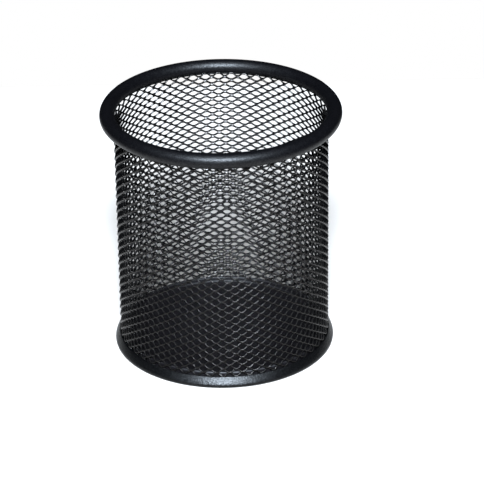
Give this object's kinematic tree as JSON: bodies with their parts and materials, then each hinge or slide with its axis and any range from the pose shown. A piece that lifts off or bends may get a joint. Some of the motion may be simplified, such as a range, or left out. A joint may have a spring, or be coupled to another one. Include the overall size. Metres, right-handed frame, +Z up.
{
  "type": "pen holder cup",
  "caption": "Round desk cup for pens: expanded-steel mesh wall, rolled tube rim and pressed steel base, all powder-coated black.",
  "frame": {"origin": "middle of the base, on the surface that the cup stands on", "axes": "+Z up along the cup's round axis, towards the open mouth; X and Y are level and interchangeable"},
  "size_m": [0.0912, 0.0912, 0.098],
  "materials": {
    "rim_coat": "satin black powder coat, fine grain",
    "mesh_coat": "satin black powder coat",
    "base_ring_coat": "satin black powder coat, fine grain",
    "base_pan_coat": "low-sheen black powder coat"
  },
  "bodies": {
    "root": {"top_rim": "rim_coat", "mesh_wall": "mesh_coat", "base_ring": "base_ring_coat", "base_pan": "base_pan_coat"}
  },
  "joints": []
}
